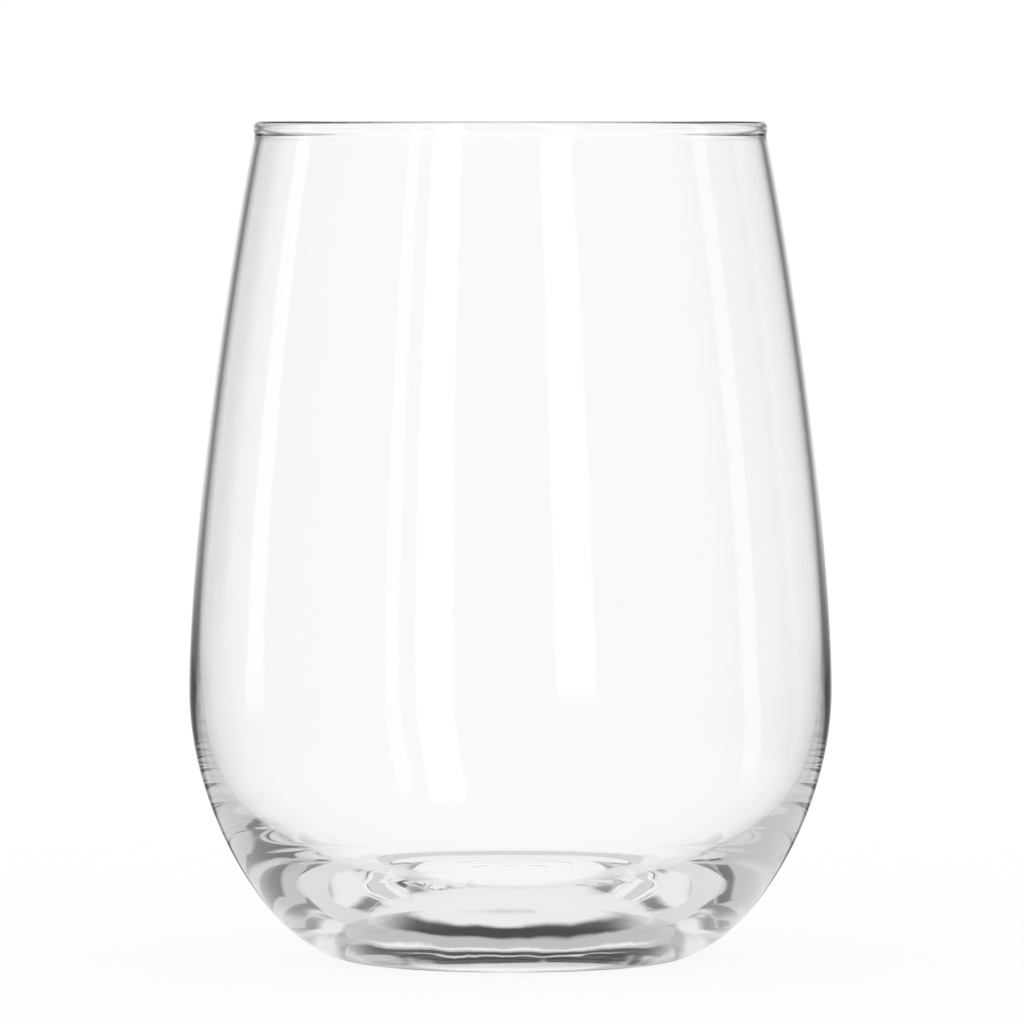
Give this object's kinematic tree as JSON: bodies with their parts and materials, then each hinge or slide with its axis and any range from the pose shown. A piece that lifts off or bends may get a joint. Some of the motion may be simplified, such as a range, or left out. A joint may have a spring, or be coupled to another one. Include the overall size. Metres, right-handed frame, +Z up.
{
  "type": "stemless wine glass",
  "caption": "Stemless wine glass: a clear one-piece bowl with a round belly, a narrower rim with a rolled bead, and a heavy flat-footed base.",
  "frame": {"origin": "middle of the foot, on the surface that the glass stands on", "axes": "+Z up along the glass's axis, from the foot to the rim; the glass is round, so X and Y are alike"},
  "size_m": [0.0888, 0.0888, 0.1158],
  "materials": {
    "clear_glass": "clear soda-lime glass, fire polished"
  },
  "bodies": {
    "root": {"bowl": "clear_glass"}
  },
  "joints": []
}
